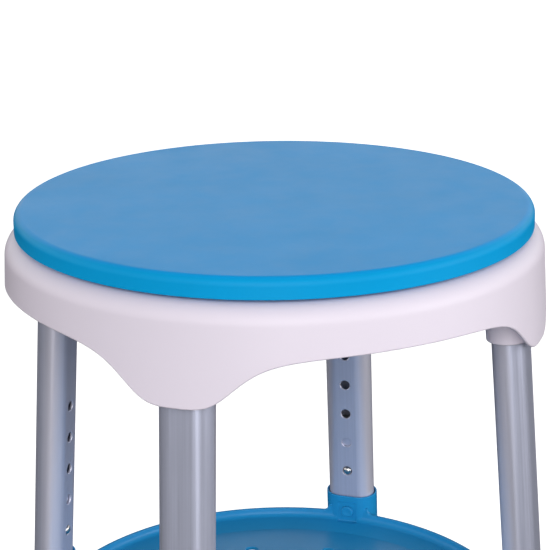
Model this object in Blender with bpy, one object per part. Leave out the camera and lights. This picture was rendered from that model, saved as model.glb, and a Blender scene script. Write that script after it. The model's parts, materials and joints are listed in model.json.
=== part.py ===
"""Rotating shower stool, in metres, +Z up, with its origin on the floor under the middle of the seat.

A blue seat disc turns on a ball race over a white moulded base. Four splayed oval legs stand in the
base's sockets. Each leg is a tube with an extension inside it, held at one of five heights by a
sprung snap button. A round tray hangs between the legs.
"""

import bpy
import bmesh
from math import cos, sin, tan, pi, radians
from mathutils import Matrix, Vector

GAP = 0.0003  # clearance that touching pieces keep

# heights above the floor
SEAT_HEIGHT = 0.500
SEAT_UNDERSIDE = 0.486
BASE_TOP = 0.483

# seat disc and its pivot
SEAT_RADIUS = 0.175
SEAT_EDGE_ROUND = 0.0057
SEAT_SEGMENTS = 60
HUB_RADIUS = 0.0182
HUB_BOTTOM = 0.467
INSERT_RADIUS = 0.0060
INSERT_TOP = 0.4832
BOLT_RADIUS = 0.0040
BOLT_HEAD_RADIUS = 0.0075
BOLT_HEAD_HEIGHT = 0.0053
WASHER_RADIUS = 0.026
WASHER_THICKNESS = 0.0025

# ball race between the seat and the base
RACE_RADIUS = 0.117
RACE_HALF_WIDTH = 0.009
RACE_THICKNESS = 0.003
TRACK_HALF_WIDTH = 0.0033
TRACK_DEPTH = 0.0012
BALL_RADIUS = 0.0028
BALL_COUNT = 12
CAGE_HALF_WIDTH = 0.0045
CAGE_HALF_THICKNESS = 0.001
RACE_SEGMENTS = 36

# white base: a shell with a lobed skirt
BASE_HOLE_RADIUS = 0.0223
BASE_BOSS_RADIUS = 0.030
BASE_PLATE = 0.005
BASE_WALL = 0.003
BASE_RIM_START = 0.150  # a low rim under the seat's edge keeps the gap between them small
BASE_RIM_TOP = 0.4846
BASE_ROUND_START = 0.1683
BASE_ROUND_WIDTH = 0.0138
BASE_ROUND_HEIGHT = 0.0126
BASE_DRAFT = 0.05
BASE_SEGMENTS = 72
ARCH_HEIGHT = 0.4515
LOBE_DROP = 0.0337
LOBE_HALF_ANGLE = radians(12.5)
LOBE_POWER = 3.8
WEB_HALF_WIDTH = 0.010  # webs that join the sockets to the skirt
WEB_OUTER = 0.0195
WEB_TOP = 0.470
RIB_THICKNESS = 0.0025
RIB_BOTTOM = 0.4655
RIB_START = 0.026
RIB_END = 0.148

# legs: flat-sided oval tubes, on the diagonals, leaning outward towards the floor
LEG_COUNT = 4
LEG_FIRST_ANGLE = radians(45)
LEG_FLOOR_RADIUS = 0.1945
LEG_SPLAY = radians(4.09)
OVAL_STEPS = 4  # points on each rounded corner of an oval
TUBE_HALF_WIDTH = 0.018
TUBE_HALF_DEPTH = 0.0115
TUBE_FLAT_SIDE = 0.0002  # half the flat stretch on an oval's narrow side
TUBE_WALL = 0.0015
TUBE_BOTTOM = 0.150
TUBE_TOP = 0.474
SOCKET_WALL = 0.003
SOCKET_BOTTOM = 0.4205
SOCKET_TOP_HEIGHT = 0.4782

# height adjustment, measured along a leg from the floor
HOLE_PITCH = 0.025
HEIGHT_SETTINGS = 5
BUTTON_HEIGHT = 0.234
HOLE_RADIUS = 0.0038
EXTENSION_GAP = 0.0005
EXTENSION_WALL = 0.0014
EXTENSION_TOP = 0.2705
BUTTON_RADIUS = 0.0034
BUTTON_FLANGE_RADIUS = 0.0046
BUTTON_FLANGE_THICKNESS = 0.0012
BUTTON_PROUD = 0.0014
SPRING_THICKNESS = 0.0006
SPRING_HALF_WIDTH = 0.004
PLUG_DEPTH = 0.010
PLUG_RIM = 0.0025
BUSH_WALL = 0.0018
BUSH_LIP = 0.004
BUSH_HEIGHT = 0.020
SCREW_HEIGHT = 0.447
SCREW_RADIUS = 0.0017
SCREW_HEAD_RADIUS = 0.004
SCREW_HEAD_HEIGHT = 0.0017

# rubber feet
FOOT_TOP = 0.038
FOOT_WALL = 0.003
FOOT_FLARE = 0.0057
FOOT_FLARE_TOP = 0.006
FOOT_NECK = 0.013
FOOT_FLOOR = 0.0105
FOOT_WASHER = 0.0015

# tray
TRAY_RIM_HEIGHT = 0.196
TRAY_FLOOR_HEIGHT = 0.186
TRAY_THICKNESS = 0.0025
TRAY_RIM_RADIUS = 0.171
TRAY_FLOOR_RADIUS = 0.150
TRAY_SEGMENTS = 48
COLLAR_WALL = 0.002
COLLAR_TOP = 0.212
COLLAR_BOTTOM = 0.178
DRAIN_RADIUS = 0.005
DRAIN_RINGS = ((0.060, 6), (0.115, 12))
DRAIN_TURN = radians(20)  # keeps the drains' corners off the floor's radial edges
PIN_HEIGHT = 0.199
PIN_HEAD_RADIUS = 0.005
PIN_HEAD_HEIGHT = 0.0017
PIN_RADIUS = 0.0034

COLOURS = {
    "seat_blue": ((0.035, 0.235, 0.56), 0.42, 0.0),
    "base_white": ((0.80, 0.78, 0.81), 0.38, 0.0),
    "tray_blue": ((0.030, 0.215, 0.50), 0.40, 0.0),
    "anodised_aluminium": ((0.50, 0.50, 0.56), 0.34, 1.0),
    "stainless_steel": ((0.60, 0.59, 0.58), 0.25, 1.0),
    "brass": ((0.72, 0.52, 0.24), 0.30, 1.0),
    "grey_plastic": ((0.30, 0.31, 0.33), 0.50, 0.0),
    "natural_nylon": ((0.78, 0.76, 0.68), 0.45, 0.0),
    "grey_rubber": ((0.16, 0.16, 0.17), 0.80, 0.0),
}


def material(name):
    """The named finish, made the first time it is asked for."""
    found = bpy.data.materials.get(name)
    if found:
        return found
    colour, roughness, metallic = COLOURS[name]
    made = bpy.data.materials.new(name)
    made.use_nodes = True
    shader = made.node_tree.nodes["Principled BSDF"]
    shader.inputs["Base Color"].default_value = (*colour, 1.0)
    shader.inputs["Roughness"].default_value = roughness
    shader.inputs["Metallic"].default_value = metallic
    made.diffuse_color = (*colour, 1.0)
    return made


def as_object(name, mesh_edit, finish, parent=None):
    """A named object from a bmesh, with its faces turned outward."""
    bmesh.ops.recalc_face_normals(mesh_edit, faces=mesh_edit.faces)
    mesh = bpy.data.meshes.new(name)
    mesh_edit.to_mesh(mesh)
    mesh_edit.free()
    mesh.materials.append(material(finish))
    mesh.shade_smooth()
    mesh.set_sharp_from_angle(angle=radians(35))
    made = bpy.data.objects.new(name, mesh)
    made.parent = parent
    bpy.context.collection.objects.link(made)
    return made


def bridge(mesh_edit, first, second):
    """Faces between two rings, either of which may be a single point."""
    count = max(len(first), len(second))
    for i in range(count):
        j = (i + 1) % count
        if len(first) == 1:
            mesh_edit.faces.new((first[0], second[j], second[i]))
        elif len(second) == 1:
            mesh_edit.faces.new((first[i], first[j], second[0]))
        else:
            mesh_edit.faces.new((first[i], first[j], second[j], second[i]))


def from_rings(rings, closed):
    """A bmesh through rings of points. A closed one joins its last ring to its first."""
    mesh_edit = bmesh.new()
    made = [[mesh_edit.verts.new(point) for point in ring] for ring in rings]
    for first, second in zip(made, made[1:]):
        bridge(mesh_edit, first, second)
    if closed:
        bridge(mesh_edit, made[-1], made[0])
    else:
        for end in (made[0], made[-1]):
            if len(end) > 2:
                mesh_edit.faces.new(end)
    return mesh_edit


def turned(profile, segments, closed):
    """A profile of (radius, height) turned about Z. A radius of 0 is a point on the axis."""
    rings = []
    for radius, height in profile:
        if radius == 0:
            rings.append([(0, 0, height)])
            continue
        angles = [2 * pi * i / segments for i in range(segments)]
        rings.append([(radius * cos(a), radius * sin(a), height) for a in angles])
    return from_rings(rings, closed)


def oval(half_width, half_depth):
    """Points (x, y) of a flat-sided oval, its depth along X and its width along Y."""
    corner = half_depth - TUBE_FLAT_SIDE
    points = []
    for quarter in range(4):
        side_x = 1 if quarter in (0, 3) else -1
        side_y = 1 if quarter in (0, 1) else -1
        for step in range(OVAL_STEPS):
            angle = pi / 2 * (quarter + step / (OVAL_STEPS - 1))
            x = side_x * (half_depth - corner) + corner * cos(angle)
            y = side_y * (half_width - corner) + corner * sin(angle)
            points.append((x, y))
    return points


def oval_ring(half_width, half_depth, height):
    """An oval at one height along a leg. The height may be a function of x, for a slanted cut."""
    level = height if callable(height) else lambda x: height
    return [(x, y, level(x)) for x, y in oval(half_width, half_depth)]


def oval_solid(sections, closed=False):
    """A bmesh through ovals, each (half width, half depth, height)."""
    return from_rings([oval_ring(*section) for section in sections], closed)


def oval_pipe(half_width, half_depth, wall, bottom, top):
    """A straight oval tube, open at both ends."""
    inner_width = half_width - wall
    inner_depth = half_depth - wall
    return oval_solid(
        [
            (half_width, half_depth, bottom),
            (half_width, half_depth, top),
            (inner_width, inner_depth, top),
            (inner_width, inner_depth, bottom),
        ],
        closed=True,
    )


def rod_along_x(radii, height, segments):
    """A turned bmesh about a line along X at a height on the leg, from (x, radius) steps."""
    rings = []
    for x, radius in radii:
        if radius == 0:
            rings.append([(x, 0, height)])
            continue
        angles = [2 * pi * (i + 0.5) / segments for i in range(segments)]
        rings.append([(x, radius * cos(a), height + radius * sin(a)) for a in angles])
    return from_rings(rings, closed=False)


def block(low, high):
    """A box between two corners."""
    mesh_edit = bmesh.new()
    size = Vector(high) - Vector(low)
    middle = (Vector(high) + Vector(low)) / 2
    placed = Matrix.Translation(middle) @ Matrix.Diagonal((*size, 1.0))
    bmesh.ops.create_cube(mesh_edit, size=1.0, matrix=placed)
    return mesh_edit


def joined(target, tools, operation):
    """Unite the tools with the target, or cut them out of it, and remove them."""
    for number, tool in enumerate(tools):
        step = target.modifiers.new(f"{operation}_{number}", "BOOLEAN")
        step.operation = operation
        step.solver = "EXACT"
        step.object = tool
        tool.hide_render = True
        tool.display_type = "WIRE"
    bpy.context.view_layer.update()
    evaluated = target.evaluated_get(bpy.context.evaluated_depsgraph_get())
    mesh = bpy.data.meshes.new_from_object(evaluated)
    target.modifiers.clear()
    target.data = mesh
    for tool in tools:
        bpy.data.objects.remove(tool)


def leg_height(world_height, x=0.0):
    """How far along a leg a world height is, at an offset x outward from the leg's middle."""
    return world_height / cos(LEG_SPLAY) - x * tan(LEG_SPLAY)


def leg_frames():
    """An empty for each leg: origin on the floor, Z up along the leg, X outward."""
    frames = []
    for number in range(LEG_COUNT):
        angle = LEG_FIRST_ANGLE + number * 2 * pi / LEG_COUNT
        frame = bpy.data.objects.new(f"leg_frame_{number + 1}", None)
        frame.location = (LEG_FLOOR_RADIUS * cos(angle), LEG_FLOOR_RADIUS * sin(angle), 0)
        turn = Matrix.Rotation(angle, 3, "Z") @ Matrix.Rotation(-LEG_SPLAY, 3, "Y")
        frame.rotation_euler = turn.to_euler()
        bpy.context.collection.objects.link(frame)
        frames.append(frame)
    return frames


def seat_disc():
    """The blue disc, solid, with a groove for the upper race and a hub that turns in the bush."""
    edge_steps = 3
    edge_middle = (SEAT_RADIUS - SEAT_EDGE_ROUND, SEAT_HEIGHT - SEAT_EDGE_ROUND)
    profile = [(0, SEAT_HEIGHT)]
    for step in range(edge_steps + 1):
        angle = pi / 2 * (1 - step / edge_steps)
        radius = edge_middle[0] + SEAT_EDGE_ROUND * cos(angle)
        profile.append((radius, edge_middle[1] + SEAT_EDGE_ROUND * sin(angle)))
    lower_round = 0.0015
    groove = RACE_HALF_WIDTH + 5 * GAP
    groove_top = SEAT_UNDERSIDE + 0.0077
    profile += [
        (SEAT_RADIUS, SEAT_UNDERSIDE + lower_round),
        (SEAT_RADIUS - lower_round, SEAT_UNDERSIDE),
        (RACE_RADIUS + groove, SEAT_UNDERSIDE),
        (RACE_RADIUS + groove, groove_top),
        (RACE_RADIUS - groove, groove_top),
        (RACE_RADIUS - groove, SEAT_UNDERSIDE),
        (HUB_RADIUS, SEAT_UNDERSIDE),
        (HUB_RADIUS, HUB_BOTTOM),
        (INSERT_RADIUS + GAP, HUB_BOTTOM),
        (INSERT_RADIUS + GAP, INSERT_TOP + GAP),
        (0, INSERT_TOP + GAP),
    ]
    as_object("seat_disc", turned(profile, SEAT_SEGMENTS, closed=False), "seat_blue")


def pivot():
    """Threaded insert, bolt and washer that hold the seat down, and the bush it turns in."""
    insert_bottom = HUB_BOTTOM + GAP
    bore = BOLT_RADIUS + GAP
    insert = [
        (bore, insert_bottom),
        (INSERT_RADIUS, insert_bottom),
        (INSERT_RADIUS, INSERT_TOP),
        (bore, INSERT_TOP),
    ]
    as_object("hub_insert", turned(insert, 16, closed=True), "brass")

    washer_top = HUB_BOTTOM - GAP
    washer_bottom = washer_top - WASHER_THICKNESS
    washer = [
        (bore, washer_bottom),
        (WASHER_RADIUS, washer_bottom),
        (WASHER_RADIUS, washer_top),
        (bore, washer_top),
    ]
    as_object("pivot_washer", turned(washer, 24, closed=True), "stainless_steel")

    head_top = washer_bottom - GAP
    bolt = turned(
        [
            (BOLT_HEAD_RADIUS, head_top - BOLT_HEAD_HEIGHT),
            (BOLT_HEAD_RADIUS, head_top),
        ],
        6,
        closed=False,
    )
    head = as_object("pivot_bolt", bolt, "stainless_steel")
    shank = turned(
        [(BOLT_RADIUS, head_top - 0.001), (BOLT_RADIUS, INSERT_TOP - 0.001)], 12, closed=False
    )
    joined(head, [as_object("shank", shank, "stainless_steel")], "UNION")

    bush_outer = BASE_HOLE_RADIUS - GAP
    bush_inner = HUB_RADIUS + GAP
    flange_radius = BASE_BOSS_RADIUS - 0.003
    flange_bottom = BASE_TOP + GAP
    flange_top = SEAT_UNDERSIDE - GAP
    bush = [
        (bush_inner, HUB_BOTTOM + 0.001),
        (bush_outer, HUB_BOTTOM + 0.001),
        (bush_outer, flange_bottom),
        (flange_radius, flange_bottom),
        (flange_radius, flange_top),
        (bush_inner, flange_top),
    ]
    as_object("pivot_bush", turned(bush, 24, closed=True), "natural_nylon")


def race_profile(back, direction):
    """Section of a race ring. Its flat back is at a height, and its track faces the direction."""
    face = back + direction * RACE_THICKNESS
    track = face - direction * TRACK_DEPTH
    return [
        (RACE_RADIUS - RACE_HALF_WIDTH, back),
        (RACE_RADIUS + RACE_HALF_WIDTH, back),
        (RACE_RADIUS + RACE_HALF_WIDTH, face),
        (RACE_RADIUS + TRACK_HALF_WIDTH, face),
        (RACE_RADIUS + TRACK_HALF_WIDTH, track),
        (RACE_RADIUS - TRACK_HALF_WIDTH, track),
        (RACE_RADIUS - TRACK_HALF_WIDTH, face),
        (RACE_RADIUS - RACE_HALF_WIDTH, face),
    ]


def ball_race():
    """Lower race on the base, upper race in the seat, and the cage of balls between them."""
    lower_back = BASE_TOP + GAP
    lower_track = lower_back + RACE_THICKNESS - TRACK_DEPTH
    ball_height = lower_track + GAP + BALL_RADIUS
    upper_track = ball_height + BALL_RADIUS + GAP
    upper_back = upper_track + RACE_THICKNESS - TRACK_DEPTH
    lower = turned(race_profile(lower_back, 1), RACE_SEGMENTS, closed=True)
    upper = turned(race_profile(upper_back, -1), RACE_SEGMENTS, closed=True)
    as_object("lower_race", lower, "natural_nylon")
    as_object("upper_race", upper, "natural_nylon")

    low = ball_height - CAGE_HALF_THICKNESS
    high = ball_height + CAGE_HALF_THICKNESS
    inner = RACE_RADIUS - CAGE_HALF_WIDTH
    outer = RACE_RADIUS + CAGE_HALF_WIDTH
    ring = turned([(inner, low), (outer, low), (outer, high), (inner, high)], RACE_SEGMENTS, True)
    cage = as_object("ball_cage", ring, "natural_nylon")
    balls = bmesh.new()
    for number in range(BALL_COUNT):
        angle = 2 * pi * (number + 0.5) / BALL_COUNT
        place = Matrix.Translation((RACE_RADIUS * cos(angle), RACE_RADIUS * sin(angle), ball_height))
        bmesh.ops.create_uvsphere(
            balls, u_segments=6, v_segments=4, radius=BALL_RADIUS, matrix=place
        )
    joined(cage, [as_object("balls", balls, "natural_nylon")], "UNION")


def skirt_edge(angle):
    """Height of the skirt's lower edge: an arch between the legs and a lobe at each leg."""
    step = 2 * pi / LEG_COUNT
    off = (angle - LEG_FIRST_ANGLE + step / 2) % step - step / 2
    return ARCH_HEIGHT - LOBE_DROP / (1 + (abs(off) / LOBE_HALF_ANGLE) ** LOBE_POWER)


def wall_radius(height):
    """Outer radius of the skirt, which widens downward."""
    round_bottom = BASE_RIM_TOP - BASE_ROUND_HEIGHT
    return BASE_ROUND_START + BASE_ROUND_WIDTH + BASE_DRAFT * (round_bottom - height)


def base_shell():
    """The turned shell: top plate with a boss, a low rim, a rounded shoulder and the lobed skirt."""
    round_bottom = BASE_RIM_TOP - BASE_ROUND_HEIGHT
    plate_bottom = BASE_TOP - BASE_PLATE
    profile = [
        (BASE_HOLE_RADIUS, BASE_TOP),
        (BASE_RIM_START, BASE_TOP),
        (BASE_RIM_START + BASE_RIM_TOP - BASE_TOP, BASE_RIM_TOP),
        (BASE_ROUND_START, BASE_RIM_TOP),
    ]
    round_steps = 5
    for step in range(1, round_steps + 1):
        angle = pi / 2 * step / round_steps
        radius = BASE_ROUND_START + BASE_ROUND_WIDTH * sin(angle)
        profile.append((radius, round_bottom + BASE_ROUND_HEIGHT * cos(angle)))
    wall_middle = 0.458
    profile.append((wall_radius(wall_middle), wall_middle))
    edge_index = len(profile)
    profile += [None, None]
    inner_start = BASE_ROUND_START + BASE_ROUND_WIDTH - BASE_WALL
    profile += [
        (wall_radius(wall_middle) - BASE_WALL, wall_middle),
        (inner_start, round_bottom - 0.002),
        (inner_start - 0.0038, round_bottom + 0.0055),
        (BASE_ROUND_START, plate_bottom),
        (BASE_BOSS_RADIUS, plate_bottom),
        (BASE_BOSS_RADIUS, HUB_BOTTOM),
        (BASE_HOLE_RADIUS, HUB_BOTTOM),
    ]
    rings = [[] for _ in profile]
    for segment in range(BASE_SEGMENTS):
        angle = 2 * pi * segment / BASE_SEGMENTS
        edge = skirt_edge(angle)
        for number, place in enumerate(profile):
            if place is None:
                inset = 0 if number == edge_index else BASE_WALL
                place = (wall_radius(edge) - inset, edge)
            rings[number].append((place[0] * cos(angle), place[0] * sin(angle), place[1]))
    return from_rings(rings, closed=True)


def seat_base(frames):
    """The white base: the shell with four leg sockets and their ribs, cut for the leg tubes."""
    base = as_object("seat_base", base_shell(), "base_white")
    outer_width = TUBE_HALF_WIDTH + GAP + SOCKET_WALL
    outer_depth = TUBE_HALF_DEPTH + GAP + SOCKET_WALL
    added = []
    cut = []
    for frame in frames:
        sleeve = oval_solid(
            [
                (outer_width, outer_depth, SOCKET_BOTTOM),
                (outer_width, outer_depth, lambda x: leg_height(SOCKET_TOP_HEIGHT, x)),
            ]
        )
        added.append(as_object("sleeve", sleeve, "base_white", frame))
        web = block(
            (TUBE_HALF_DEPTH, -WEB_HALF_WIDTH, SOCKET_BOTTOM + 0.0005),
            (WEB_OUTER, WEB_HALF_WIDTH, WEB_TOP),
        )
        added.append(as_object("web", web, "base_white", frame))
        bore_width = TUBE_HALF_WIDTH + GAP
        bore_depth = TUBE_HALF_DEPTH + GAP
        bore = oval_solid(
            [(bore_width, bore_depth, 0.40), (bore_width, bore_depth, TUBE_TOP + 2 * GAP)]
        )
        cut.append(as_object("bore", bore, "base_white", frame))
        hole = rod_along_x(
            [(-outer_depth - 0.002, SCREW_RADIUS + GAP), (-0.005, SCREW_RADIUS + GAP)],
            SCREW_HEIGHT,
            8,
        )
        cut.append(as_object("screw_hole", hole, "base_white", frame))
    for number in range(LEG_COUNT):
        low = (RIB_START, -RIB_THICKNESS / 2, RIB_BOTTOM)
        high = (RIB_END, RIB_THICKNESS / 2, SOCKET_TOP_HEIGHT)
        bar = as_object("rib", block(low, high), "base_white")
        bar.rotation_euler.z = LEG_FIRST_ANGLE + number * 2 * pi / LEG_COUNT
        added.append(bar)
    joined(base, added, "UNION")
    joined(base, cut, "DIFFERENCE")


def leg_tube(frame, number):
    """The outer tube, with its row of adjusting holes on the side that faces inward."""
    pipe = oval_pipe(TUBE_HALF_WIDTH, TUBE_HALF_DEPTH, TUBE_WALL, TUBE_BOTTOM, TUBE_TOP)
    tube = as_object(f"leg_tube_{number}", pipe, "anodised_aluminium", frame)
    heights = [(BUTTON_HEIGHT + k * HOLE_PITCH, HOLE_RADIUS) for k in range(HEIGHT_SETTINGS)]
    heights.append((PIN_HEIGHT, PIN_RADIUS + GAP))
    heights.append((SCREW_HEIGHT, SCREW_RADIUS + GAP))
    cutters = []
    for height, radius in heights:
        hole = rod_along_x([(-0.014, radius), (-0.006, radius)], height, 8)
        cutters.append(as_object("hole", hole, "anodised_aluminium", frame))
    joined(tube, cutters, "DIFFERENCE")


def leg_screw(frame, number):
    """The screw that fixes a leg tube in its socket."""
    face = -(TUBE_HALF_DEPTH + GAP + SOCKET_WALL + GAP)
    tip = -(TUBE_HALF_DEPTH - TUBE_WALL - 0.001)
    steps = [
        (face - SCREW_HEAD_HEIGHT, SCREW_HEAD_RADIUS),
        (face, SCREW_HEAD_RADIUS),
        (face, SCREW_RADIUS),
        (tip, SCREW_RADIUS),
    ]
    screw = rod_along_x(steps, SCREW_HEIGHT, 8)
    as_object(f"leg_screw_{number}", screw, "stainless_steel", frame)


def guide_bush(frame, number):
    """The cap on a leg tube's lower end, whose lip guides the extension."""
    outer_width = TUBE_HALF_WIDTH + GAP + BUSH_WALL
    outer_depth = TUBE_HALF_DEPTH + GAP + BUSH_WALL
    seat_width = TUBE_HALF_WIDTH + GAP
    seat_depth = TUBE_HALF_DEPTH + GAP
    lip_width = TUBE_HALF_WIDTH - TUBE_WALL - EXTENSION_GAP + 0.0004
    lip_depth = TUBE_HALF_DEPTH - TUBE_WALL - EXTENSION_GAP + 0.0004
    bottom = TUBE_BOTTOM - GAP - BUSH_LIP
    bush = oval_solid(
        [
            (outer_width, outer_depth, bottom),
            (outer_width, outer_depth, bottom + BUSH_HEIGHT),
            (seat_width, seat_depth, bottom + BUSH_HEIGHT),
            (seat_width, seat_depth, TUBE_BOTTOM - GAP),
            (lip_width, lip_depth, TUBE_BOTTOM - GAP),
            (lip_width, lip_depth, bottom),
        ],
        closed=True,
    )
    as_object(f"guide_bush_{number}", bush, "grey_plastic", frame)


def extension_size():
    """Half width and half depth of the extension tube, outside."""
    inset = TUBE_WALL + EXTENSION_GAP
    return TUBE_HALF_WIDTH - inset, TUBE_HALF_DEPTH - inset


def extension(frame, number):
    """The inner tube that slides in the leg, with its plug, its foot and the foot's steel washer."""
    half_width, half_depth = extension_size()
    washer_bottom = FOOT_FLOOR + GAP
    tube_bottom = washer_bottom + FOOT_WASHER + GAP
    pipe = oval_pipe(half_width, half_depth, EXTENSION_WALL, tube_bottom, EXTENSION_TOP)
    tube = as_object(f"extension_tube_{number}", pipe, "anodised_aluminium", frame)
    hole = rod_along_x([(-0.012, HOLE_RADIUS), (-0.005, HOLE_RADIUS)], BUTTON_HEIGHT, 8)
    joined(tube, [as_object("hole", hole, "anodised_aluminium", frame)], "DIFFERENCE")

    plug_width = half_width - EXTENSION_WALL - GAP
    plug_depth = half_depth - EXTENSION_WALL - GAP
    rim_bottom = EXTENSION_TOP + GAP
    plug = oval_solid(
        [
            (plug_width, plug_depth, EXTENSION_TOP - PLUG_DEPTH),
            (plug_width, plug_depth, rim_bottom),
            (half_width, half_depth, rim_bottom),
            (half_width, half_depth, rim_bottom + PLUG_RIM),
        ]
    )
    as_object(f"tube_plug_{number}", plug, "grey_plastic", frame)

    inner_width = half_width + GAP
    inner_depth = half_depth + GAP
    neck_width = inner_width + FOOT_WALL
    neck_depth = inner_depth + FOOT_WALL
    flare_width = neck_width + FOOT_FLARE
    flare_depth = neck_depth + FOOT_FLARE
    foot = oval_solid(
        [
            (flare_width, flare_depth, lambda x: leg_height(0, x)),
            (flare_width, flare_depth, lambda x: leg_height(FOOT_FLARE_TOP, x)),
            (neck_width, neck_depth, FOOT_NECK),
            (neck_width, neck_depth, FOOT_TOP),
            (inner_width, inner_depth, FOOT_TOP),
            (inner_width, inner_depth, FOOT_FLOOR),
        ]
    )
    as_object(f"rubber_foot_{number}", foot, "grey_rubber", frame)

    washer = oval_solid(
        [
            (half_width, half_depth, washer_bottom),
            (half_width, half_depth, washer_bottom + FOOT_WASHER),
        ]
    )
    as_object(f"foot_washer_{number}", washer, "stainless_steel", frame)


def snap_button(frame, number):
    """The button that locks an extension, and the V spring behind it."""
    inner_face = -(extension_size()[1] - EXTENSION_WALL) + GAP
    tip = -(TUBE_HALF_DEPTH + BUTTON_PROUD)
    steps = [
        (inner_face + BUTTON_FLANGE_THICKNESS, BUTTON_FLANGE_RADIUS),
        (inner_face, BUTTON_FLANGE_RADIUS),
        (inner_face, BUTTON_RADIUS),
        (tip + 0.001, BUTTON_RADIUS),
        (tip, BUTTON_RADIUS * 0.6),
    ]
    button = rod_along_x(steps, BUTTON_HEIGHT, 8)
    as_object(f"snap_button_{number}", button, "stainless_steel", frame)

    front = inner_face + BUTTON_FLANGE_THICKNESS + GAP + SPRING_THICKNESS
    back = -inner_face - SPRING_THICKNESS
    route = [
        (front, BUTTON_HEIGHT + 0.007),
        (front, BUTTON_HEIGHT - 0.007),
        (-0.0005, BUTTON_HEIGHT - 0.046),
        (0.0015, BUTTON_HEIGHT - 0.046),
        (back, BUTTON_HEIGHT - 0.020),
        (back, BUTTON_HEIGHT + 0.004),
    ]
    as_object(f"button_spring_{number}", strip(route), "stainless_steel", frame)


def strip(route):
    """A leaf of spring steel along a route of (x, height) points, level across Y."""
    half = SPRING_THICKNESS / 2
    rings = []
    for number, (x, height) in enumerate(route):
        before = Vector(route[max(number - 1, 0)])
        after = Vector(route[min(number + 1, len(route) - 1)])
        along = (after - before).normalized()
        side = Vector((-along.y, along.x)) * half
        wide = SPRING_HALF_WIDTH
        rings.append(
            [
                (x + side.x, -wide, height + side.y),
                (x + side.x, wide, height + side.y),
                (x - side.x, wide, height - side.y),
                (x - side.x, -wide, height - side.y),
            ]
        )
    return from_rings(rings, closed=False)


def tray(frames):
    """The round tray with a raised rim, drain holes and a collar round each leg."""
    low = TRAY_FLOOR_HEIGHT - TRAY_THICKNESS
    profile = [
        (0, TRAY_FLOOR_HEIGHT),
        (TRAY_FLOOR_RADIUS, TRAY_FLOOR_HEIGHT),
        (TRAY_RIM_RADIUS - TRAY_THICKNESS, TRAY_FLOOR_HEIGHT + 0.004),
        (TRAY_RIM_RADIUS - TRAY_THICKNESS, TRAY_RIM_HEIGHT),
        (TRAY_RIM_RADIUS, TRAY_RIM_HEIGHT),
        (TRAY_RIM_RADIUS, TRAY_FLOOR_HEIGHT),
        (TRAY_FLOOR_RADIUS + 0.003, low),
        (0, low),
    ]
    dish = as_object("tray", turned(profile, TRAY_SEGMENTS, closed=False), "tray_blue")
    collar_width = TUBE_HALF_WIDTH + GAP + COLLAR_WALL
    collar_depth = TUBE_HALF_DEPTH + GAP + COLLAR_WALL
    added = []
    cut = []
    for frame in frames:
        sleeve = oval_solid(
            [(collar_width, collar_depth, COLLAR_BOTTOM), (collar_width, collar_depth, COLLAR_TOP)]
        )
        added.append(as_object("collar", sleeve, "tray_blue", frame))
        bore = oval_solid(
            [
                (TUBE_HALF_WIDTH + GAP, TUBE_HALF_DEPTH + GAP, COLLAR_BOTTOM - 0.01),
                (TUBE_HALF_WIDTH + GAP, TUBE_HALF_DEPTH + GAP, COLLAR_TOP + 0.01),
            ]
        )
        cut.append(as_object("bore", bore, "tray_blue", frame))
        pin_hole = rod_along_x(
            [(-0.020, PIN_RADIUS + GAP), (-0.005, PIN_RADIUS + GAP)], PIN_HEIGHT, 8
        )
        cut.append(as_object("pin_hole", pin_hole, "tray_blue", frame))
    for ring_radius, count in DRAIN_RINGS:
        for number in range(count):
            angle = 2 * pi * (number + 0.5) / count
            hole = turned([(DRAIN_RADIUS, low - 0.005), (DRAIN_RADIUS, low + 0.01)], 8, False)
            drain = as_object("drain", hole, "tray_blue")
            drain.location = (ring_radius * cos(angle), ring_radius * sin(angle), 0)
            drain.rotation_euler.z = angle + DRAIN_TURN
            cut.append(drain)
    joined(dish, added, "UNION")
    joined(dish, cut, "DIFFERENCE")


def tray_pin(frame, number):
    """The pin that holds a tray collar to its leg, in a hole below the adjusting holes."""
    face = -(TUBE_HALF_DEPTH + GAP + COLLAR_WALL + GAP)
    tip = -(TUBE_HALF_DEPTH - TUBE_WALL + 0.0002)
    steps = [
        (face - PIN_HEAD_HEIGHT, PIN_HEAD_RADIUS),
        (face, PIN_HEAD_RADIUS),
        (face, PIN_RADIUS),
        (tip, PIN_RADIUS),
    ]
    pin = rod_along_x(steps, PIN_HEIGHT, 8)
    as_object(f"tray_pin_{number}", pin, "tray_blue", frame)


def build():
    """The whole stool."""
    for old in list(bpy.data.objects):
        bpy.data.objects.remove(old)
    frames = leg_frames()
    seat_disc()
    pivot()
    ball_race()
    seat_base(frames)
    tray(frames)
    for number, frame in enumerate(frames, start=1):
        leg_tube(frame, number)
        leg_screw(frame, number)
        guide_bush(frame, number)
        extension(frame, number)
        snap_button(frame, number)
        tray_pin(frame, number)


build()
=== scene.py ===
"""Looks of the rotating shower stool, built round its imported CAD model, in metres, +Z up.

Every visible piece is a fine mesh in the place and size of its CAD node, which it replaces. Sizes
come from the frame: a piece on a leg is measured and made in that leg's own frame, with its origin
on the floor, Z up along the leg and X outward.
"""

import json
from math import atan, cos, hypot, pi, radians, sin, sqrt, tan

import bmesh
import bpy
from mathutils import Matrix, Vector


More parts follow.
